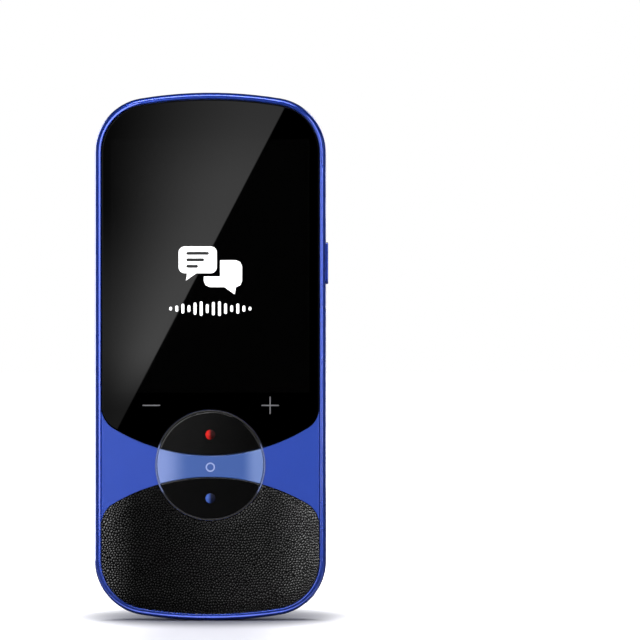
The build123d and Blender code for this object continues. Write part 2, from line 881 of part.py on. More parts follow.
with BuildPart() as mic_gasket:
    with BuildSketch(Plane.YZ.offset(mic_outer)):
        with Locations((edge_line, mic_z)):
            Rectangle(2 * (edge_line - mic_front), mic_body_length - 2 * mic_hole_radius)
            Circle(mic_hole_radius, mode=Mode.SUBTRACT)
    extrude(amount=mic_gasket_thickness)
mic_gasket.part.label = "mic_gasket"

# ---------------------------------------------------------------- lanyard bar
with BuildPart() as lanyard_bar:
    bar_outer = corner_radius + lanyard_bar_proud
    extrude(
        corner_sector(
            edge_line + lanyard_height / 2,
            bar_outer - lanyard_bar_thickness,
            bar_outer,
            lanyard_bar_start_angle,
            lanyard_bar_end_angle,
        ),
        amount=lanyard_height,
    )
lanyard_bar.part.label = "lanyard_bar"

# ---------------------------------------------------------------- camera
camera_axis = Axis((0, 0, camera_z), (0, 1, 0))
bezel_crest = back + camera_bezel_proud
window_back = bezel_crest - camera_bezel_proud / 2
window_front = window_back - camera_window_thickness
bezel_outer = camera_bezel_diameter / 2
neck_outer = camera_neck_diameter / 2
window_seat = camera_window_diameter / 2 + inlay_gap
with BuildPart() as camera_bezel:
    with BuildSketch(Plane.XY.offset(camera_z)):
        with BuildLine():
            Polyline(
                (bezel_outer, back),
                (bezel_outer, seat_y),
                (neck_outer, seat_y),
                (neck_outer, inner_back),
                (camera_sight_diameter / 2, inner_back),
                (camera_sight_diameter / 2, window_front),
                (window_seat, window_front),
                (window_seat, window_back),
                (neck_outer, bezel_crest),
            )
            TangentArc((bezel_outer, back), (neck_outer, bezel_crest), tangent=(0, 1))
        make_face()
    revolve(axis=camera_axis)
camera_bezel.part.label = "camera_bezel"

with BuildPart() as camera_window:
    extrude(rounds(window_back, [(0, camera_z)], camera_window_diameter / 2), amount=camera_window_thickness)
camera_window.part.label = "camera_window"

holder_back = main_board_back + camera_holder_height
with BuildPart() as camera_holder:
    extrude(
        block(holder_back, 0, camera_z, camera_holder_size, camera_holder_size, corner=boss_wall),
        amount=camera_holder_height,
    )
camera_holder.part.label = "camera_holder"

barrel_back = holder_back + camera_barrel_height
barrel_outer = camera_barrel_diameter / 2
barrel_inner = barrel_outer - camera_barrel_wall
lens_seat = barrel_back - camera_barrel_height / 2
with BuildPart() as camera_barrel:
    extrude(rounds(barrel_back, [(0, camera_z)], barrel_outer), amount=camera_barrel_height)
    extrude(
        rounds(barrel_back, [(0, camera_z)], barrel_inner),
        amount=camera_barrel_height / 2,
        mode=Mode.SUBTRACT,
    )
camera_barrel.part.label = "camera_barrel"

with BuildPart() as camera_lens:
    with BuildSketch(Plane.XY.offset(camera_z)):
        with BuildLine():
            lens_rim = (barrel_inner - inlay_gap, barrel_back)
            lens_top = (0, barrel_back + camera_lens_sag)
            Polyline(lens_rim, (barrel_inner - inlay_gap, lens_seat), (0, lens_seat), lens_top)
            TangentArc(lens_top, lens_rim, tangent=(1, 0))
        make_face()
    revolve(axis=camera_axis)
camera_lens.part.label = "camera_lens"

# ---------------------------------------------------------------- speaker, gasket and mesh
with BuildPart() as speaker:
    extrude(
        block(gasket_front, 0, speaker_z, speaker_width, speaker_height, corner=2 * boss_wall),
        amount=speaker_thickness,
    )
    with BuildSketch(level(gasket_front)):
        with Locations((0, speaker_z)):
            SlotOverall(speaker_width - 4 * boss_wall, speaker_height - 4 * boss_wall)
    extrude(amount=speaker_cone_depth, mode=Mode.SUBTRACT)
speaker.part.label = "speaker"

with BuildPart() as speaker_gasket:
    with BuildSketch(level(mesh_front)):
        with Locations((0, speaker_z)):
            Rectangle(speaker_width, speaker_height)
            Rectangle(
                speaker_width - 2 * speaker_gasket_width,
                speaker_height - 2 * speaker_gasket_width,
                mode=Mode.SUBTRACT,
            )
    extrude(amount=speaker_gasket_thickness)
speaker_gasket.part.label = "speaker_gasket"

with BuildPart() as speaker_mesh:
    extrude(block(inner_back, 0, speaker_z, speaker_width, speaker_height), amount=speaker_mesh_thickness)
speaker_mesh.part.label = "speaker_mesh"

# ---------------------------------------------------------------- battery and its tape
with BuildPart() as battery:
    extrude(block(tape_front, 0, battery_z, battery_width, battery_height), amount=battery_thickness)
    fillet(battery.edges().filter_by(Axis.Z), radius=battery_round)
battery.part.label = "battery"

with BuildPart() as battery_tape:
    extrude(block(inner_back, 0, battery_z, tape_width, tape_height), amount=tape_thickness)
battery_tape.part.label = "battery_tape"

# ---------------------------------------------------------------- charging port and its board
with BuildPart() as charging_port:
    with BuildSketch(Plane.XY.offset(port_recess)):
        with Locations((0, port_y)):
            RectangleRounded(port_width, port_height, port_round)
    extrude(amount=port_length)
    with BuildSketch(Plane.XY.offset(port_recess)):
        with Locations((0, port_y)):
            RectangleRounded(
                port_width - 2 * port_metal, port_height - 2 * port_metal, port_round - port_metal
            )
    extrude(amount=port_length - port_metal, mode=Mode.SUBTRACT)
charging_port.part.label = "charging_port"

with BuildPart() as port_tongue:
    with BuildSketch(Plane.XY.offset(port_recess + port_length - port_metal)):
        with Locations((0, port_y)):
            Rectangle(tongue_plate_width, tongue_plate_thickness)
    extrude(amount=-tongue_plate_length)
port_tongue.part.label = "port_tongue"

with BuildPart() as port_board:
    extrude(
        block(port_board_back, 0, port_board_z, port_board_width, port_board_height),
        amount=board_thickness,
    )
    extrude(
        rounds(port_board_back, port_screws_at, screw_radius + fit_gap),
        amount=board_thickness,
        mode=Mode.SUBTRACT,
    )
port_board.part.label = "port_board"
port_board_screws = screws(port_board_front, port_screws_at, "front")
port_board_screws.label = "port_board_screws"

with BuildPart() as board_ribbon:
    with BuildSketch(Plane.YZ.offset(-board_ribbon_width / 2)):
        with BuildLine():
            low_y = port_board_back + ribbon_thickness / 2
            high_y = main_board_back + ribbon_thickness / 2
            port_board_top = port_board_bottom + port_board_height
            FilletPolyline(
                (low_y, port_board_top - board_ribbon_reach),
                (low_y, main_board_bottom - board_ribbon_reach),
                (high_y, main_board_bottom),
                (high_y, main_board_bottom + board_ribbon_reach),
                radius=board_ribbon_reach / 4,
            )
        trace(line_width=ribbon_thickness)
    extrude(amount=board_ribbon_width)
board_ribbon.part.label = "board_ribbon"

# ---------------------------------------------------------------- antenna
with BuildPart() as antenna:
    extrude(
        block(inner_back, 0, body_height - antenna_from_top, antenna_width, antenna_height),
        amount=antenna_thickness,
    )
antenna.part.label = "antenna"

# ---------------------------------------------------------------- files
blocks = [
    side_frame, back_shell, front_panel, screen_glass, glass_gasket, display_module, display_ribbon,
    leather_pad, key_bezel, *key_pieces, *dot_pieces, home_key_mark, key_membrane, key_switches,
    key_board, main_board, shield_can, power_key, power_switch, side_microphone, mic_gasket,
    lanyard_bar, camera_bezel, camera_window, camera_holder, camera_barrel, camera_lens, speaker,
    speaker_gasket, speaker_mesh, battery, battery_tape, charging_port, port_tongue, port_board,
    board_ribbon, antenna,
]
pieces = [item.part for item in blocks] + [key_board_screws, main_board_screws, port_board_screws]
os.makedirs("parts", exist_ok=True)
for piece in pieces:
    export_step(piece, "parts/" + piece.label + ".step")
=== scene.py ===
import bpy
import math
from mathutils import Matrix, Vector, kdtree, noise


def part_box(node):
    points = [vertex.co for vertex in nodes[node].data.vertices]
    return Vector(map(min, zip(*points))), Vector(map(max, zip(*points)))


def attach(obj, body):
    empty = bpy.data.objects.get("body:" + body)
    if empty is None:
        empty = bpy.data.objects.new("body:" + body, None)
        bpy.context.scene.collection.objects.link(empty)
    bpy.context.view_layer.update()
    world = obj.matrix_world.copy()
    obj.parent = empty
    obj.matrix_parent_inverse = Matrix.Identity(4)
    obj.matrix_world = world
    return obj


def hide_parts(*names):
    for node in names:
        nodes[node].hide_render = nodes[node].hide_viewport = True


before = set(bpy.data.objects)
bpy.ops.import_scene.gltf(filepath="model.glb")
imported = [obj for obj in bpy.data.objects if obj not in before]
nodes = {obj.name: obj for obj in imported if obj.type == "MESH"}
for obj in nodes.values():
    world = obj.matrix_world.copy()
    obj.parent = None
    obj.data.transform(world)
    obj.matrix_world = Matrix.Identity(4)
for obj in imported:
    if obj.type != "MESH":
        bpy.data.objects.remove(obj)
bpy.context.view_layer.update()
scene = bpy.context.scene
MM = 0.001

# ---------------------------------------------------------------- side frame
# The frame is an aluminium ring, cut, blasted and dyed blue, with a soft rounded rim. The power
# key and the lanyard bar are cut from the same metal and dyed with it. A hard clear coat seals
# the dye. Marks in a finish are sized in millimetres.
BLAST_GRAIN = 0.09
BLAST_DEPTH = 0.003
GLOSS_PATCH = 3.0
DYE_CLOUD = 14.0


def colour(code):
    """A colour from its usual six-digit code, in the linear values that shaders take."""
    shares = [int(code[i:i + 2], 16) / 255 for i in (0, 2, 4)]
    linear = [c / 12.92 if c <= 0.04045 else ((c + 0.055) / 1.055) ** 2.4 for c in shares]
    return (*linear, 1.0)


class Value:
    """A value in a material. Sums on it add Math nodes."""

    def __init__(self, finish, socket):
        self.finish = finish
        self.socket = socket

    def __add__(self, other):
        return self.finish.math("ADD", self, other)

    def __radd__(self, other):
        return self.finish.math("ADD", other, self)

    def __sub__(self, other):
        return self.finish.math("SUBTRACT", self, other)

    def __rsub__(self, other):
        return self.finish.math("SUBTRACT", other, self)

    def __mul__(self, other):
        return self.finish.math("MULTIPLY", self, other)

    def __rmul__(self, other):
        return self.finish.math("MULTIPLY", other, self)

    def __truediv__(self, other):
        return self.finish.math("DIVIDE", self, other)

    def __abs__(self):
        return self.finish.math("ABSOLUTE", self)


class Finish:
    """One material, or the room, with its shader and the nodes that feed it."""

    def __init__(self, name, kind="materials", shader="Principled BSDF"):
        self.material = getattr(bpy.data, kind).new(name)
        self.material.use_nodes = True
        self.tree = self.material.node_tree
        self.shader = self.tree.nodes[shader]

    def feed(self, socket, given):
        """Links a value to a socket, or sets the socket to a number or colour."""
        if isinstance(given, Value):
            self.tree.links.new(given.socket, socket)
        else:
            socket.default_value = given

    def node(self, kind, settings=None, sockets=None, output=0):
        """Adds any node: its settings first, then the values or links of its sockets."""
        made = self.tree.nodes.new("ShaderNode" + kind)
        for name, setting in (settings or {}).items():
            setattr(made, name, setting)
        for name, given in (sockets or {}).items():
            self.feed(made.inputs[name], given)
        return Value(self, made.outputs[output])

    def math(self, operation, *given):
        return self.node("Math", {"operation": operation}, dict(enumerate(given)))

    def mix(self, share, first, second):
        """A colour between two others."""
        return self.node("Mix", {"data_type": "RGBA"}, {0: share, 6: first, 7: second}, output=2)

    def step(self, given, start, end):
        """Goes smoothly from 0 at start to 1 at end."""
        return self.node(
            "MapRange",
            {"interpolation_type": "SMOOTHSTEP"},
            {"Value": given, "From Min": start, "From Max": end},
        )

    def place(self):
        """Where a point lies on its piece, in millimetres."""
        at = self.node("TexCoord", output="Object")
        return self.node("VectorMath", {"operation": "SCALE"}, {0: at, "Scale": 1 / MM})

    def axis(self, place, letter):
        return self.node("SeparateXYZ", sockets={0: place}, output=letter)

    def grain(self, place, size, detail=2.0):
        """Soft noise with marks of a size in millimetres."""
        return self.node(
            "TexNoise", sockets={"Vector": place, "Scale": 1 / size, "Detail": detail}
        )

    def bump(self, height, depth, strength):
        """A normal from a height map. The depth is in millimetres."""
        return self.node(
            "Bump", sockets={"Height": height, "Distance": depth * MM, "Strength": strength}
        )

    def fill(self, sockets):
        """Feeds the shader's own sockets."""
        for name, given in sockets.items():
            self.feed(self.shader.inputs[name], given)
        return self


def dress(finish, *names):
    """Gives carried-over pieces their finish."""
    for name in names:
        for place in nodes[name].material_slots:
            place.material = finish.material


def dyed_metal():
    finish = Finish("blue_dyed_metal")
    at = finish.place()
    blast = finish.grain(at, BLAST_GRAIN, detail=3.0)
    cloud = finish.grain(at, DYE_CLOUD)
    patch = finish.grain(at, GLOSS_PATCH, detail=4.0)
    return finish.fill({
        "Base Color": finish.mix(0.85 * cloud + 0.15 * blast, colour("2a4abc"), colour("3556d0")),
        "Metallic": 0.8,
        "Roughness": 0.28 + 0.04 * (patch - 0.5) + 0.02 * (blast - 0.5),
        "Normal": finish.bump(blast, BLAST_DEPTH, 0.06),
        "Coat Weight": 1.0,
        "Coat Roughness": 0.08,
        "Coat IOR": 1.6,
    })


dress(dyed_metal(), "side_frame", "power_key", "lanyard_bar")

# ---------------------------------------------------------------- back shell
# The shell is one moulding in blue plastic with a satin lacquer that holds a fine metal flake. Its
# bevel, crown and lip come from the mould, and the speaker holes are moulded through its back.
LACQUER_GRAIN = 0.16
LACQUER_DEPTH = 0.006
HANDLED_PATCH = 6.0
LACQUER_CLOUD = 22.0


def lacquered_plastic(name, deep, light, roughness, flake):
    finish = Finish(name)
    at = finish.place()
    texture = finish.grain(at, LACQUER_GRAIN)
    flow = finish.grain(at, LACQUER_CLOUD)
    handled = finish.grain(at, HANDLED_PATCH, detail=5.0)
    return finish.fill({
        "Base Color": finish.mix(0.5 * flow + 0.5 * texture, deep, light),
        "Metallic": flake,
        "Roughness": roughness + 0.1 * (handled - 0.5),
        "Normal": finish.bump(texture, LACQUER_DEPTH, 0.3),
        "Coat Weight": 0.25,
        "Coat Roughness": 0.25,
    })


shell_lacquer = lacquered_plastic(
    "blue_shell_lacquer", colour("3150aa"), colour("3858b4"), roughness=0.36, flake=0.75
)
dress(shell_lacquer, "back_shell")

# ---------------------------------------------------------------- front panel
# The carrier plate is moulded in the same plastic, with less flake in its lacquer. Only its smooth
# band shows, between the glass and the pad.
band_lacquer = lacquered_plastic(
    "blue_band_lacquer", colour("2343a8"), colour("2b4cb5"), roughness=0.3, flake=0.25
)
dress(band_lacquer, "front_panel")

# ---------------------------------------------------------------- screen glass
# The cover glass is flat, with a ground edge that begins where it turns from facing ahead. A black
# print on its rear frames the display, which is a shade paler when unlit. The touch marks are
# printed in grey.
GLASS_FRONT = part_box("screen_glass")[0].y
DISPLAY_BLEND = 0.2
WIPED_PATCH = 9.0
GROUND_TILT = (0.992, 0.9996)
PRINT_GRAIN = 0.12
PRINT_THICKNESS = 0.01 * MM
TOUCH_MARK_LENGTH = 4.3 * MM
TOUCH_MARK_STROKE = 0.3 * MM
TOUCH_MARK_ROUND = 0.05 * MM
TOUCH_MARK_Z = 53.0 * MM
MINUS_X = -14.5 * MM
PLUS_X = 14.7 * MM


def black_glass():
    finish = Finish("black_cover_glass")
    at = finish.place()
    display_low, display_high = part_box("display_module")
    middle = (display_low.z + display_high.z) / 2 / MM
    half_width = display_high.x / MM
    half_height = (display_high.z - display_low.z) / 2 / MM
    across = abs(finish.axis(at, "X"))
    up = abs(finish.axis(at, "Z") - middle)
    in_width = 1 - finish.step(across, half_width - DISPLAY_BLEND, half_width)
    in_height = 1 - finish.step(up, half_height - DISPLAY_BLEND, half_height)
    wiped = finish.grain(at, WIPED_PATCH, detail=4.0)
    ahead = abs(finish.axis(finish.node("NewGeometry", output="Normal"), "Y"))
    ground = 1 - finish.step(ahead, *GROUND_TILT)
    return finish.fill({
        "Base Color": finish.mix(in_width * in_height, colour("000000"), colour("020202")),
        "Metallic": 0.9 * ground,
        "Roughness": 0.012 * wiped + 0.3 * ground,
        "IOR": 1.5,
    })


def sheet_from_loops(name, loops, front, thickness):
    """A thin flat piece from closed loops of points on the front.

    Loops inside earlier ones are holes.
    """
    curve = bpy.data.curves.new(name, "CURVE")
    curve.dimensions = "2D"
    curve.fill_mode = "BOTH"
    curve.extrude = thickness / 2
    for loop in loops:
        line = curve.splines.new("POLY")
        line.points.add(len(loop) - 1)
        for point, (x, z) in zip(line.points, loop):
            point.co = (x, z, 0, 1)
        line.use_cyclic_u = True
    drawn = bpy.data.objects.new(name, curve)
    scene.collection.objects.link(drawn)
    mesh = bpy.data.meshes.new_from_object(drawn)
    bpy.data.objects.remove(drawn)
    for corner in mesh.vertices:
        x, z, y = corner.co
        corner.co = (x, front + thickness / 2 + y, z)
    mesh.flip_normals()
    piece = bpy.data.objects.new(name, mesh)
    scene.collection.objects.link(piece)
    return piece


def round_box(x, z, width, height, radius, steps=6):
    """The points of a rectangle with round corners."""
    points = []
    for turn, side, end in ((0, 1, 1), (90, -1, 1), (180, -1, -1), (270, 1, -1)):
        for step in range(steps + 1):
            angle = math.radians(turn + 90 * step / steps)
            points.append((
                x + side * (width / 2 - radius) + radius * math.cos(angle),
                z + end * (height / 2 - radius) + radius * math.sin(angle),
            ))
    return points


def plus_sign(x, z, length, stroke):
    """The points of a plus sign: one inner corner and its two neighbours, turned four times."""
    corner = ((stroke / 2, length / 2), (stroke / 2, stroke / 2), (length / 2, stroke / 2))
    points = []
    for quarter in range(4):
        turn = -math.pi / 2 * quarter
        for right, up in corner:
            points.append((
                x + right * math.cos(turn) - up * math.sin(turn),
                z + right * math.sin(turn) + up * math.cos(turn),
            ))
    return points


def darker(shade, share):
    """A share of a colour's light."""
    return (*(share * light for light in shade[:3]), 1.0)


def print_finish(name, ink, glow=0.0):
    finish = Finish(name)
    dots = finish.grain(finish.place(), PRINT_GRAIN)
    return finish.fill({
        "Base Color": finish.mix(dots, ink, darker(ink, 0.9)),
        "Roughness": 0.35 + 0.1 * dots,
        "Emission Color": ink,
        "Emission Strength": glow,
    })


dress(black_glass(), "screen_glass")

minus_loop = round_box(
    MINUS_X, TOUCH_MARK_Z, TOUCH_MARK_LENGTH, TOUCH_MARK_STROKE, TOUCH_MARK_ROUND, steps=2
)
plus_loop = plus_sign(PLUS_X, TOUCH_MARK_Z, TOUCH_MARK_LENGTH, TOUCH_MARK_STROKE)
touch_marks = sheet_from_loops(
    "touch_marks", [minus_loop, plus_loop], GLASS_FRONT - PRINT_THICKNESS, PRINT_THICKNESS
)
touch_marks.data.materials.append(print_finish("grey_print", colour("636366")).material)
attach(touch_marks, "housing")

# ---------------------------------------------------------------- picture on the screen
# The display shows a plain symbol for speech in two languages: two speech bubbles over a row of
# level bars. The rear bubble is cut back round the front one. The lit pixels are one thin sheet.
BUBBLE_WIDTH = 9.4 * MM
BUBBLE_HEIGHT = 6.6 * MM
BUBBLE_ROUND = 1.5 * MM
BUBBLE_SHIFT = 3.1 * MM
BUBBLE_DROP = 1.9 * MM
BUBBLE_Z = 86.9 * MM
REAR_LIFT = 0.4 * MM
ROUND_CUT = 0.3 * BUBBLE_ROUND
TAIL_DROP = 1.8 * MM
TAIL_ROOT = 1.4 * BUBBLE_ROUND
TAIL_TIP = 1.2 * BUBBLE_ROUND
TAIL_HEEL = 2.9 * BUBBLE_ROUND
TEXT_STROKE = 0.75 * MM
TEXT_GAP = 0.8 * MM
TEXT_START = 0.3 * BUBBLE_WIDTH
TEXT_LENGTHS = (5.6 * MM, 4.4 * MM, 2.9 * MM)
LEVEL_Z = 76.8 * MM
LEVEL_PITCH = 1.5 * MM
LEVEL_WIDTH = 0.7 * MM
LEVEL_HEIGHTS = (0.9, 1.5, 2.4, 1.7, 3.0, 3.6, 2.2, 3.3, 3.6, 2.6, 1.6, 2.5, 1.5, 0.9)
BAR_ROUND_SHARE = 0.49


def front_bubble(x, z):
    """The front bubble's outline, with its tail at the left."""
    points = round_box(x, z, BUBBLE_WIDTH, BUBBLE_HEIGHT, BUBBLE_ROUND)
    left, low = x - BUBBLE_WIDTH / 2, z - BUBBLE_HEIGHT / 2
    tail = [(left + TAIL_ROOT, low), (left + TAIL_TIP, low - TAIL_DROP), (left + TAIL_HEEL, low)]
    lower_left = 3 * len(points) // 4
    return points[:lower_left] + tail + points[lower_left:]


def rear_bubble(x, z, front_right, front_low):
    """The rear bubble's outline, with its tail at the right and a corner left to the front one."""
    left, right = x - BUBBLE_WIDTH / 2, x + BUBBLE_WIDTH / 2
    low, high = z - BUBBLE_HEIGHT / 2, z + BUBBLE_HEIGHT / 2
    return [
        (front_right, high), (right - BUBBLE_ROUND, high), (right - ROUND_CUT, high - ROUND_CUT),
        (right, high - BUBBLE_ROUND), (right, low + BUBBLE_ROUND),
        (right - ROUND_CUT, low + ROUND_CUT), (right - BUBBLE_ROUND, low),
        (right - TAIL_TIP, low - TAIL_DROP), (right - TAIL_HEEL, low),
        (left + BUBBLE_ROUND, low), (left + ROUND_CUT, low + ROUND_CUT),
        (left, low + BUBBLE_ROUND), (left, front_low), (front_right, front_low),
    ]


front_x, front_z = -BUBBLE_SHIFT, BUBBLE_Z + BUBBLE_DROP
rear_x, rear_z = BUBBLE_SHIFT, BUBBLE_Z - BUBBLE_DROP + REAR_LIFT
symbol_loops = [front_bubble(front_x, front_z)]
for line, length in enumerate(TEXT_LENGTHS):
    symbol_loops.append(round_box(
        front_x - TEXT_START + length / 2, front_z + 2 * TEXT_GAP * (1 - line),
        length, TEXT_STROKE, BAR_ROUND_SHARE * TEXT_STROKE, steps=3,
    ))
symbol_loops.append(rear_bubble(
    rear_x, rear_z,
    front_x + BUBBLE_WIDTH / 2 + TEXT_GAP, front_z - BUBBLE_HEIGHT / 2 - TEXT_GAP,
))
for bar, height in enumerate(LEVEL_HEIGHTS):
    bar_x = (bar - (len(LEVEL_HEIGHTS) - 1) / 2) * LEVEL_PITCH
    symbol_loops.append(
        round_box(bar_x, LEVEL_Z, LEVEL_WIDTH, height * MM, BAR_ROUND_SHARE * LEVEL_WIDTH, steps=4)
    )
screen_symbol = sheet_from_loops(
    "screen_symbol", symbol_loops, GLASS_FRONT - PRINT_THICKNESS, PRINT_THICKNESS
)
screen_symbol.data.materials.append(
    print_finish("lit_pixels", colour("ffffff"), glow=0.6).material
)
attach(screen_symbol, "housing")

# ---------------------------------------------------------------- leather pad
# The thumb pad is thin embossed leather on a little foam, die-cut and glued into its recess. Its
# pebbles are under a millimetre across, with fine creases between them. The creases are painted
# black as painted shade. Both its ends carry a painted sheen: the pebble tops there get more coat,
# and the creases at the right end are painted lighter. Lengths are in millimetres, apart from the
# voxel and the rim's reach.
PEBBLE_PITCH = 0.66
PEBBLE_WANDER = 0.2
PEBBLE_WANDER_RATE = 1.37
PEBBLE_WANDER_LAYER = 0.5
ROW_WANDER = 1.4
ROW_WANDER_RATE = 0.13
PEBBLE_LEAST = 0.38
PEBBLE_SEED = 1
PEBBLE_TOP = 0.92
PEBBLE_TOP_SPREAD = 0.12
PEBBLE_TOP_RATE = 5.3
CREASE_WIDTH = 0.36
CREASE_DEPTH = 0.13
EDGE_DROP = 0.3
EDGE_WIDTH = 3.5
PAD_VOXEL = 0.12 * MM
RIM_REACH = 1.5 * PAD_VOXEL
RIM_FACING = 0.5
FRONT_FACING = 0.2
PORE_GRAIN = 0.16
PORE_DEPTH = 0.012
DYE_PATCH = 5.0
CREASE_TO_TOP = (0.34, 0.9)
# Where the painted sheen of the pad's ends rises, across the pad in millimetres.
PAINTED_SHEEN_LEFT_END = (-27.0, -18.0)
PAINTED_SHEEN_RIGHT_WIDE = (-14.0, 20.0)
PAINTED_SHEEN_RIGHT_END = (14.0, 28.0)


def tree_of(points):
    """A search tree of places on the front, given as (x, z) in millimetres."""
    tree = kdtree.KDTree(len(points))
    for place, (x, z) in enumerate(points):
        tree.insert((x, 0.0, z), place)
    tree.balance()
    return tree


def pebble_centres(low, high):
    """Staggered rows of pebbles, each a little out of line.

    Where two crowd together, one is left out.
    """
    noise.seed_set(PEBBLE_SEED)
    row_gap = PEBBLE_PITCH * math.sqrt(3) / 2
    rows = range(math.floor(low.z / MM / row_gap), math.ceil(high.z / MM / row_gap) + 1)
    columns = range(
        math.floor(low.x / MM / PEBBLE_PITCH) - 1, math.ceil(high.x / MM / PEBBLE_PITCH) + 1
    )
    centres = []
    for row in rows:
        for column in columns:
            place = Vector(((column + row % 2 / 2) * PEBBLE_PITCH, row * row_gap, 0.0))
            turned = noise.noise_vector(Vector((
                column * PEBBLE_WANDER_RATE, row * PEBBLE_WANDER_RATE, PEBBLE_WANDER_LAYER
            ))).normalized()
            drift = noise.noise_vector(place * ROW_WANDER_RATE)
            place += PEBBLE_WANDER * turned + ROW_WANDER * drift
            centres.append((place.x, place.y))
    crowded = tree_of(centres)
    return tree_of([
        (x, z) for own, (x, z) in enumerate(centres)
        if all(other >= own for _, other, _ in crowded.find_range((x, 0.0, z), PEBBLE_LEAST))
    ])


def pebble_height(centres, x, z):
    """How high the leather stands at a place: 0 in a crease and about 1 on top of a pebble."""
    own, other = centres.find_n((x, 0.0, z), 2)
    dome = min(1.0, (other[2] - own[2]) / CREASE_WIDTH)
    top = PEBBLE_TOP + PEBBLE_TOP_SPREAD * noise.noise(own[0] * PEBBLE_TOP_RATE)
    return dome * (2 - dome) * top


def leather_skin():
    """The pad's solid, meshed evenly, pressed into pebbles and rolled down at its edge."""
    source = nodes["leather_pad"]
    low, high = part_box("leather_pad")
    form = bpy.data.objects.new("thumb_pad_form", source.data.copy())
    scene.collection.objects.link(form)
    remesh = form.modifiers.new("even", "REMESH")
    remesh.mode = "VOXEL"
    remesh.voxel_size = PAD_VOXEL
    bpy.context.view_layer.update()
    view = bpy.context.evaluated_depsgraph_get()
    mesh = bpy.data.meshes.new_from_object(form.evaluated_get(view))
    bpy.data.objects.remove(form)
    border = tree_of([
        (corner.co.x / MM, corner.co.z / MM) for corner in mesh.vertices
        if corner.co.y > high.y - RIM_REACH and abs(corner.normal.y) < RIM_FACING
    ])
    centres = pebble_centres(low, high)
    facing = [max(0.0, -corner.normal.y) for corner in mesh.vertices]
    heights = mesh.attributes.new("pebble", "FLOAT", "POINT")
    for corner, share, height in zip(mesh.vertices, facing, heights.data):
        if share > FRONT_FACING:
            x, z = corner.co.x / MM, corner.co.z / MM
            height.value = pebble_height(centres, x, z)
            inward = min(1.0, border.find((x, 0.0, z))[2] / EDGE_WIDTH)
            crown = EDGE_DROP * (1 - math.sin(math.pi / 2 * inward))
            corner.co.y += share * (CREASE_DEPTH * (1 - height.value) + crown) * MM
    mesh.shade_smooth()
    return mesh


def leather_finish():
    finish = Finish("black_leather")
    at = finish.place()
    pore = finish.grain(at, PORE_GRAIN, detail=3.0)
    dye_patch = finish.grain(at, DYE_PATCH, detail=3.0)
    pebble = finish.node("Attribute", {"attribute_name": "pebble"}, output="Fac")
    across = finish.axis(at, "X")
    # Painted sheen: more coat on the pebble tops at both ends, and creases painted lighter towards
    # the right end. The creases are otherwise painted black, as painted shade.
    left_painted_sheen = 1 - finish.step(across, *PAINTED_SHEEN_LEFT_END)
    right_painted_sheen = (
        0.22 * finish.step(across, *PAINTED_SHEEN_RIGHT_WIDE) + 0.7 * finish.step(across, *PAINTED_SHEEN_RIGHT_END)
    )
    painted_sheen = 0.065 + 0.5 * left_painted_sheen + right_painted_sheen
    top = finish.step(pebble, *CREASE_TO_TOP)
    dyed = finish.mix(dye_patch, colour("020202"), colour("050505"))
    crease = finish.mix(right_painted_sheen, colour("000000"), colour("151515"))
    return finish.fill({
        "Base Color": finish.mix(top, crease, dyed),
        "Roughness": 0.6 + 0.1 * (pore - 0.5),
        "Specular IOR Level": 0.03,
        "Coat Weight": top * painted_sheen,
        "Coat Roughness": 0.27,
        "Coat IOR": 2.5,
        "Normal": finish.bump(pore, PORE_DEPTH, 0.6),
    })


thumb_pad = bpy.data.objects.new("thumb_pad", leather_skin())
scene.collection.objects.link(thumb_pad)
thumb_pad.data.materials.clear()
thumb_pad.data.materials.append(leather_finish().material)
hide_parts("leather_pad")
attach(thumb_pad, "housing")

# ---------------------------------------------------------------- ring round the keys
# A thin ring, turned from metal and polished on its two bevels, is pressed round the keys. Where
# it crosses the blue band it is painted pale blue, as a painted reflection of the band.
BAND_FOOT = (31.0, 32.5)
BAND_HEAD = (42.6, 44.0)
TURNED_GRAIN = 0.08


def ring_finish():
    finish = Finish("turned_ring")
    at = finish.place()
    up = finish.axis(at, "Z")
    fine = finish.grain(at, TURNED_GRAIN)
    # Painted reflection: the ring is painted pale blue where it crosses the blue band.
    painted_band_reflection = finish.step(up, *BAND_FOOT) * (1 - finish.step(up, *BAND_HEAD))
    return finish.fill({
        "Base Color": finish.mix(painted_band_reflection, colour("464648"), colour("8f9ed2")),
        "Metallic": 0.6,
        "Roughness": 0.22 + 0.08 * fine,
    })


dress(ring_finish(), "key_bezel")

# ---------------------------------------------------------------- keys
# The two talk keys are black plastic, painted lighter towards the upper left as a painted sheen of
# the light from there. The middle key is clear plastic with a blue print on its rear; its ends are
# painted lighter than its middle, and the left end lighter than the right, as painted light. Each
# turns its edge over in a small round.
TALK_KEY_GRAIN = 0.3
KEY_PAINTED_SHEEN_UP = (34.0, 43.0)
KEY_PAINTED_SHEEN_LEFT = (-8.0, 11.0)
HOME_KEY_GRAIN = 0.4
HOME_KEY_LEFT_END = (5.0, 12.0)
HOME_KEY_RIGHT_END = (7.6, 11.4)
HOME_KEY_SIDES = (-11.0, 11.0)


def key_plastic():
    finish = Finish("black_key_plastic")
    at = finish.place()
    fine = finish.grain(at, TALK_KEY_GRAIN, detail=3.0)
    # Painted sheen: the talk keys are made lighter towards the upper left, where the light comes
    # from.
    high = finish.step(finish.axis(at, "Z"), *KEY_PAINTED_SHEEN_UP)
    left = 1 - finish.step(finish.axis(at, "X"), *KEY_PAINTED_SHEEN_LEFT)
    painted_key_sheen = high * left
    return finish.fill({
        "Base Color": finish.mix(0.12 * fine + 0.85 * painted_key_sheen, colour("010101"), colour("0e0e0e")),
        "Roughness": 0.1 + 0.04 * fine,
        "Coat Weight": 0.4,
        "Coat Roughness": 0.08,
    })


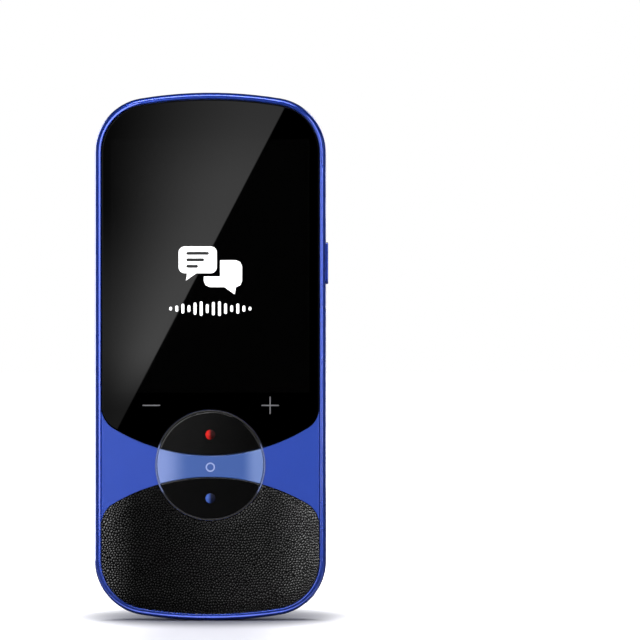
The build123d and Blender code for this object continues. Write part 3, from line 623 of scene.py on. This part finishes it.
def home_plastic():
    finish = Finish("clear_blue_key")
    at = finish.place()
    along = finish.axis(at, "X")
    # Painted light: the ends are made lighter than the middle, and the left end lighter than the
    # right.
    left_end = finish.step(0 - along, *HOME_KEY_LEFT_END)
    right_end = finish.step(along, *HOME_KEY_RIGHT_END)
    side = finish.step(along, *HOME_KEY_SIDES)
    fine = finish.grain(at, HOME_KEY_GRAIN, detail=3.0)
    middle = finish.mix(fine, colour("3b5898"), colour("3e5b9d"))
    pale = finish.mix(side, colour("788bc3"), colour("6a81b7"))
    return finish.fill({
        "Base Color": finish.mix(left_end + right_end, middle, pale),
        "Roughness": 0.2 + 0.08 * fine,
        "Coat Weight": 0.6,
        "Coat Roughness": 0.05,
    })


dress(key_plastic(), "upper_talk_key", "lower_talk_key")
dress(home_plastic(), "home_key")

# ---------------------------------------------------------------- marks on the keys
# The red and blue marks are small satin beads set in the talk keys, painted light at their left
# and dark at their right, as painted light and shade. The
# middle key's ring mark is a pale inlay.
BEAD_SWIRL = 0.5
PAINTED_BEAD_SHADE = (-0.6, 0.5)


def bead_plastic(name, deep, light):
    finish = Finish(name)
    at = finish.place()
    swirl = finish.grain(at, BEAD_SWIRL)
    across = finish.axis(at, "X") + 0.3 * swirl
    return finish.fill({
        # Painted light and shade: the bead's left takes the light colour and its right the deep
        # one.
        "Base Color": finish.mix(finish.step(across, *PAINTED_BEAD_SHADE), light, deep),
        "Roughness": 0.42 + 0.05 * swirl,
        "Specular IOR Level": 0.2,
    })


dress(bead_plastic("red_bead", colour("2c0101"), colour("c8140a")), "upper_key_dot")
dress(bead_plastic("blue_bead", colour("040a24"), colour("3c5cae")), "lower_key_dot")
dress(print_finish("pale_inlay", colour("93a2d2")), "home_key_mark")

# ---------------------------------------------------------------- camera in the back
# A polished steel ring is pressed into the shell and holds a window with a black printed border.
# The lens behind it is coated; the amber, olive and violet of its coat, with their rings and the
# dark middle, are painted into its colour as painted reflections. The values are in millimetres.
CAMERA_CENTRE = sum(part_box("camera_lens"), Vector()) / 2 / MM
WINDOW_DUST = 0.6
WINDOW_PRINT = (3.35, 3.45)
LENS_WARM = (-1.6, 0.8)
LENS_VIOLET = (1.0, 2.6)
LENS_BRIGHT = (0.8, 1.7)
LENS_RING_RATE = 11.0
BRUSHED_GRAIN = 0.8
BRUSH_STRETCH = 18.0


def from_centre(finish, at):
    """Distance from the camera's axis, in millimetres."""
    flat = finish.node("VectorMath", {"operation": "MULTIPLY"}, {0: at, 1: (1.0, 0.0, 1.0)})
    centre = (CAMERA_CENTRE.x, 0.0, CAMERA_CENTRE.z)
    return finish.node("VectorMath", {"operation": "DISTANCE"}, {0: flat, 1: centre}, "Value")


def steel(name, shade, roughness):
    finish = Finish(name)
    stretched = finish.node(
        "VectorMath", {"operation": "MULTIPLY"}, {0: finish.place(), 1: (1.0, 1.0, BRUSH_STRETCH)}
    )
    brushed = finish.grain(stretched, BRUSHED_GRAIN, detail=3.0)
    return finish.fill({
        "Base Color": finish.mix(brushed, shade, darker(shade, 0.8)),
        "Metallic": 1.0,
        "Roughness": roughness + 0.14 * brushed,
    })


def window_glass():
    finish = Finish("camera_window_glass")
    at = finish.place()
    dust = finish.grain(at, WINDOW_DUST, detail=4.0)
    printed = finish.step(from_centre(finish, at), *WINDOW_PRINT)
    return finish.fill({
        "Base Color": finish.mix(printed, colour("f4f5ff"), colour("000000")),
        "Transmission Weight": 1.0,
        "Roughness": 0.01 * dust,
        "IOR": 1.2,
    })


def coated_lens():
    finish = Finish("coated_lens")
    at = finish.place()
    along = finish.axis(at, "X")
    up = finish.axis(at, "Z") - CAMERA_CENTRE.z
    away = from_centre(finish, at)
    # Painted reflections: the coat's colours, its rings and its dark middle are painted into the
    # base colour.
    warm = finish.mix(finish.step(up, *LENS_WARM), colour("b8b45a"), colour("f0a070"))
    painted_coat_colour = finish.mix(finish.step(along, *LENS_VIOLET), warm, colour("7a55c8"))
    rings = 0.75 + 0.25 * finish.math("SINE", LENS_RING_RATE * away)
    painted_lens_reflection = rings * (0.25 + 0.75 * finish.step(away, *LENS_BRIGHT))
    return finish.fill({
        "Base Color": finish.mix(painted_lens_reflection, colour("120c08"), painted_coat_colour),
        "Metallic": 0.3,
        "Roughness": 0.4 + 0.05 * rings,
        "Coat Weight": 1.0,
        "Coat Roughness": 0.04,
    })


dress(steel("polished_steel", colour("d2d4cc"), roughness=0.1), "camera_bezel")
dress(window_glass(), "camera_window")
dress(coated_lens(), "camera_lens")

# ---------------------------------------------------------------- black mouldings
# The camera's holder and barrel, the speaker, the power switch and the port's tongue are moulded
# in black plastic, left with the fine grain of the mould.
MOULD_GRAIN = 0.12
MOULD_DEPTH = 0.01


def moulded(name, shade, roughness):
    finish = Finish(name)
    spark = finish.grain(finish.place(), MOULD_GRAIN)
    return finish.fill({
        "Base Color": finish.mix(spark, shade, darker(shade, 0.6)),
        "Roughness": roughness + 0.12 * spark,
        "Normal": finish.bump(spark, MOULD_DEPTH, 0.6),
    })


black_moulding = moulded("black_moulding", colour("1a1a1c"), roughness=0.45)
dress(black_moulding, "camera_holder", "camera_barrel", "speaker", "power_switch", "port_tongue")

# ---------------------------------------------------------------- gaskets, tapes and membrane
# The seals are die-cut from black silicone and acrylic tape. The key membrane is moulded in grey
# silicone and lies between the keys and their switches.
black_silicone = moulded("black_silicone", colour("17171a"), roughness=0.7)
dress(black_silicone, "speaker_gasket", "mic_gasket", "glass_gasket", "battery_tape")
dress(moulded("grey_silicone", colour("8e8f93"), roughness=0.6), "key_membrane")

# ---------------------------------------------------------------- speaker mesh
# A fine woven cloth is glued behind the speaker holes and keeps dust out. Its threads are about a
# tenth of a millimetre apart.
THREAD_PITCH = 0.12
THREAD_HEIGHT = 0.03


def woven_cloth():
    finish = Finish("speaker_cloth")
    at = finish.place()
    turn = 2 * math.pi / THREAD_PITCH
    warp = finish.math("SINE", finish.axis(at, "X") * turn)
    weft = finish.math("SINE", finish.axis(at, "Z") * turn)
    weave = 0.5 + 0.5 * warp * weft
    return finish.fill({
        "Base Color": finish.mix(weave, colour("060608"), colour("18181b")),
        "Roughness": 0.8 - 0.15 * weave,
        "Normal": finish.bump(weave, THREAD_HEIGHT, 0.8),
    })


dress(woven_cloth(), "speaker_mesh")

# ---------------------------------------------------------------- boards
# The boards are green laminate. The copper under the resist shows as paler fields with darker
# gaps between them.
RESIST_GRAIN = 0.2
FIELD_OFFSET = 0.37
COPPER_FIELDS = {
    "Scale": 0.9, "Mortar Size": 0.06, "Brick Width": 1.3, "Row Height": 0.5,
    "Color1": colour("0f4a2c"), "Color2": colour("155636"), "Mortar": colour("0a3520"),
}


def laminate():
    finish = Finish("green_laminate")
    at = finish.place()
    fields = finish.node(
        "TexBrick", {"offset": FIELD_OFFSET}, {"Vector": at, **COPPER_FIELDS}, output="Color"
    )
    fine = finish.grain(at, RESIST_GRAIN, detail=3.0)
    return finish.fill({"Base Color": fields, "Roughness": 0.32 + 0.12 * fine})


dress(laminate(), "key_board", "main_board", "port_board")

# ---------------------------------------------------------------- metal parts inside
# Screws, domes, the shield can, the microphone's can and the port's shell are tinned steel. The
# battery is wrapped in brushed aluminium foil.
tinned_steel = steel("tinned_steel", colour("b9bbc0"), roughness=0.24)
dress(
    tinned_steel, "key_switches", "key_board_screws", "main_board_screws", "port_board_screws",
    "shield_can", "side_microphone", "charging_port",
)
dress(steel("battery_foil", colour("9da0a6"), roughness=0.35), "battery")

# ---------------------------------------------------------------- films and display
# Ribbons and the antenna are amber film with copper lines under it. The display is a laminate of
# thin glass and black film.
COPPER_LINE_RATE = 12.0
COPPER_EDGE = (-0.1, 0.1)
LAMINATE_GRAIN = 0.2


def amber_film():
    finish = Finish("amber_film")
    lines = finish.math("SINE", finish.axis(finish.place(), "X") * COPPER_LINE_RATE)
    copper = finish.step(lines, *COPPER_EDGE)
    return finish.fill({
        "Base Color": finish.mix(copper, colour("8c4a14"), colour("c8812f")),
        "Roughness": 0.3 + 0.05 * copper,
        "Coat Weight": 0.3,
    })


def display_laminate():
    finish = Finish("display_laminate")
    fine = finish.grain(finish.place(), LAMINATE_GRAIN, detail=3.0)
    black = colour("0a0a0c")
    return finish.fill({
        "Base Color": finish.mix(fine, black, darker(black, 0.7)),
        "Roughness": 0.15 + 0.06 * fine,
        "Coat Weight": 0.7,
        "Coat Roughness": 0.06,
    })


dress(amber_film(), "display_ribbon", "board_ribbon", "antenna")
dress(display_laminate(), "display_module")

# ---------------------------------------------------------------- table
# The device stands on a wide white table with a painted shadow: it is painted grey in an oval
# round its foot, a little grey in front of it, and turns white away from it. Mirrors see the table
# dark, but for a painted glow, a bright line before and behind the foot that shines up into the
# bottom rim.
TABLE_HALF = 6.0
TABLE_GLOW = 2.4
# Each oval is given by its half width, half depth and middle, in millimetres.
PAINTED_SHADOW_OVAL = (32.0, 42.0, 13.0)
PAINTED_SHADOW_FADE = (0.1, 1.35)
SHADE_OVAL = (33.0, 44.0, 15.0)
SHADE_FADE = (0.7, 1.4)
PAINTED_FRONT_SHADE_OVAL = (32.0, 130.0, -70.0)
PAINTED_FRONT_SHADE_FADE = (0.2, 1.6)
GLOW_START = (5.6, 6.4)
GLOW_END = (6.8, 8.0)


def flat_piece(name, corners):
    """A flat piece with four corners."""
    mesh = bpy.data.meshes.new(name)
    mesh.from_pydata(corners, [], [(0, 1, 2, 3)])
    piece = bpy.data.objects.new(name, mesh)
    scene.collection.objects.link(piece)
    return piece


def from_oval(finish, at, width, depth, middle):
    """Distance from the middle of an oval on the table, 1 at its edge."""
    scaled = finish.node(
        "VectorMath", {"operation": "MULTIPLY"}, {0: at, 1: (1 / width, 1 / depth, 0.0)}
    )
    centre = (0.0, middle / depth, 0.0)
    return finish.node("VectorMath", {"operation": "DISTANCE"}, {0: scaled, 1: centre}, "Value")


def white_table():
    finish = Finish("white_table")
    seen = finish.node("LightPath", output="Is Camera Ray")
    mirrored = finish.node("LightPath", output="Is Glossy Ray")
    at = finish.place()
    # Painted shadow: the table is painted grey, and glows less, in ovals round the device's foot,
    # and a little grey in front of it.
    clear = finish.step(from_oval(finish, at, *PAINTED_SHADOW_OVAL), *PAINTED_SHADOW_FADE)
    unshaded = finish.step(from_oval(finish, at, *SHADE_OVAL), *SHADE_FADE)
    ahead = finish.step(from_oval(finish, at, *PAINTED_FRONT_SHADE_OVAL), *PAINTED_FRONT_SHADE_FADE)
    whiteness = unshaded * (0.1 + 0.9 * ahead)
    gap = abs(finish.axis(at, "Y"))
    # Painted glow: a bright line on the table, seen only by mirrors, lights the bottom rim.
    line = finish.step(gap, *GLOW_START) * (1 - finish.step(gap, *GLOW_END))
    shown = (1 / TABLE_GLOW) * seen * whiteness + mirrored * line
    open_table = finish.mix(ahead, colour("cfcfd8"), colour("f0f0f3"))
    table_white = finish.mix(clear, colour("6c6e79"), open_table)
    return finish.fill({
        "Base Color": finish.mix(mirrored, table_white, colour("3a3a3c")),
        "Roughness": 0.6,
        "Specular IOR Level": 0.1,
        "Emission Color": finish.mix(shown, colour("000000"), colour("fdfdff")),
        "Emission Strength": TABLE_GLOW,
    })


floor = flat_piece("table", [
    (-TABLE_HALF, -TABLE_HALF, 0), (TABLE_HALF, -TABLE_HALF, 0),
    (TABLE_HALF, TABLE_HALF, 0), (-TABLE_HALF, TABLE_HALF, 0),
])
floor.data.materials.append(white_table().material)

# ---------------------------------------------------------------- room and lamps
# The room is white to the eye, lights softly from all round, and is black to mirrors, so that the
# cover glass stays black. Soft boxes light the device and draw the bright lines on its rim.
TARGET = Vector((0.0, 0.0, 0.065))
ROOM_LEVEL = 0.2
MIRRORED_LEVEL = 0.0

room = Finish("room", "worlds", "Background")
scene.world = room.material
seen = room.node("LightPath", output="Is Camera Ray")
mirrored = room.node("LightPath", output="Is Glossy Ray")
room.fill({
    "Color": (1.0, 1.0, 1.0, 1.0),
    "Strength": ROOM_LEVEL + (1 - ROOM_LEVEL) * seen + (MIRRORED_LEVEL - ROOM_LEVEL) * mirrored,
})


def soft_box(name, turn, rise, away, width, height, power, mirrored=True, scattered=True):
    """A lamp aimed at the device, turned from the front and raised, by angles in degrees.

    Its distance and size are in metres, and its power in watts.
    """
    lamp = bpy.data.lights.new(name, "AREA")
    lamp.shape = "RECTANGLE"
    lamp.size = width
    lamp.size_y = height
    lamp.energy = power
    turn, rise = math.radians(turn), math.radians(rise)
    flat = math.cos(rise)
    toward = Vector((math.sin(turn) * flat, -math.cos(turn) * flat, math.sin(rise)))
    box = bpy.data.objects.new(name, lamp)
    box.location = TARGET + away * toward
    box.rotation_euler = toward.to_track_quat("Z", "Y").to_euler()
    box.visible_camera = False
    box.visible_glossy = mirrored
    box.visible_diffuse = scattered
    scene.collection.objects.link(box)


soft_box("left_strip", -24, 4, 0.6, 0.3, 0.9, 3.0)
soft_box("right_glow", 28, 4, 0.6, 0.16, 0.6, 0.2)
soft_box("right_strip", 46, 4, 0.6, 0.14, 0.8, 1.5)
soft_box("left_side_box", -72, 5, 0.9, 0.4, 0.6, 0.12)
soft_box("right_side_box", 92, 5, 0.9, 0.3, 0.6, 0.22)
soft_box("top_strip", 0, 78, 0.8, 0.7, 0.14, 2.8)
soft_box("front_fill", -50, 14, 0.3, 0.2, 0.3, 0.25, mirrored=False)
soft_box("top_box", 30, 100, 1.2, 0.36, 0.36, 8.0, mirrored=False)
soft_box("back_left_box", -137, 4, 0.25, 0.12, 0.26, 0.3, scattered=False)
soft_box("back_right_box", 155, 12, 0.9, 0.15, 0.6, 1.0, scattered=False)

# ---------------------------------------------------------------- view
# A long lens looks level and square at the front. It stands to the right of the device, so the
# device fills the left of the frame.
CAMERA_DISTANCE = 1.3
CAMERA_X = 0.02697
CAMERA_Z = 0.0740
FRAME_WIDTH = 0.1581
SENSOR_WIDTH = 36.0

lens = bpy.data.cameras.new("long_lens")
lens.sensor_width = SENSOR_WIDTH
lens.lens = SENSOR_WIDTH * CAMERA_DISTANCE / FRAME_WIDTH
eye = bpy.data.objects.new("long_lens", lens)
eye.location = (CAMERA_X, -CAMERA_DISTANCE, CAMERA_Z)
eye.rotation_euler = (math.pi / 2, 0.0, 0.0)
scene.collection.objects.link(eye)
scene.camera = eye

# ---------------------------------------------------------------- mirrored panel
# A glowing grey panel stands behind the camera, where only mirrors see it, and is cut off along a
# slant. Its glow is painted in shades, to make a painted reflection on the cover glass. Its slant
# and shades are given where they show on the cover glass, by x and z, and are carried on from the
# camera through the mirror.
PANEL_Y = -1.9
PANEL_LEFT, PANEL_RIGHT = -0.22, 0.12
PANEL_LOW, PANEL_HIGH = -0.12, 0.34
PANEL_GLOW = 1.5
SLANT_TOP = (18.6 * MM, 126.9 * MM)
SLANT_FOOT = (-22.7 * MM, 47.6 * MM)
SLANT_BLUR = 0.4
SHADE_LEFT = -26.7 * MM
SHADE_SPREAD = (-0.05, 0.92)
SHADE_HEIGHTS = (51 * MM, 68 * MM, 105 * MM, 127 * MM)


def mirrored_point(x, z):
    """Where the camera's ray through a point of the glass meets the panel, in millimetres."""
    run = (abs(PANEL_Y) + GLASS_FRONT) / (CAMERA_DISTANCE + GLASS_FRONT)
    return (x + (x - CAMERA_X) * run) / MM, (z + (z - CAMERA_Z) * run) / MM


def painted_reflection_glow():
    """Painted glow: grey on the left of the slant, brightest along it and darker to the left and
    the top.
    """
    finish = Finish("mirror_panel")
    at = finish.place()
    top_x, top_z = mirrored_point(*SLANT_TOP)
    foot_x, foot_z = mirrored_point(*SLANT_FOOT)
    left = mirrored_point(SHADE_LEFT, 0)[0]
    low, fade, rise, high = (mirrored_point(0, height)[1] for height in SHADE_HEIGHTS)
    length = math.hypot(top_x - foot_x, top_z - foot_z)
    normal_x = (top_z - foot_z) / length
    normal_z = -(top_x - foot_x) / length
    x = finish.axis(at, "X")
    z = finish.axis(at, "Z")
    beyond = (x - foot_x) * normal_x + (z - foot_z) * normal_z
    lit = 1 - finish.step(beyond, -SLANT_BLUR, SLANT_BLUR)
    slant_x = foot_x + (z - foot_z) * ((top_x - foot_x) / (top_z - foot_z))
    inward = finish.step((x - left) / (slant_x - left), *SHADE_SPREAD)
    foot = finish.step(z, low, fade)
    climb = finish.step(z, fade, rise)
    summit = finish.step(z, rise, high)
    crest = (0.17 + 0.76 * foot) * (1 - 0.2 * climb) * (1 - 0.33 * summit)
    side = (0.13 + 0.15 * foot) * (1 - 0.9 * climb)
    light = lit * (side + (crest - side) * inward)
    return finish.fill({
        "Base Color": (0.0, 0.0, 0.0, 1.0),
        "Specular IOR Level": 0.0,
        "Emission Color": finish.mix(light, colour("000000"), colour("ffffff")),
        "Emission Strength": PANEL_GLOW,
    })


panel = flat_piece("mirror_panel", [
    (PANEL_LEFT, PANEL_Y, PANEL_LOW), (PANEL_RIGHT, PANEL_Y, PANEL_LOW),
    (PANEL_RIGHT, PANEL_Y, PANEL_HIGH), (PANEL_LEFT, PANEL_Y, PANEL_HIGH),
])
panel.visible_camera = False
panel.visible_diffuse = False
panel.visible_shadow = False
panel.visible_transmission = False
panel.data.materials.append(painted_reflection_glow().material)

scene.view_settings.view_transform = "Standard"
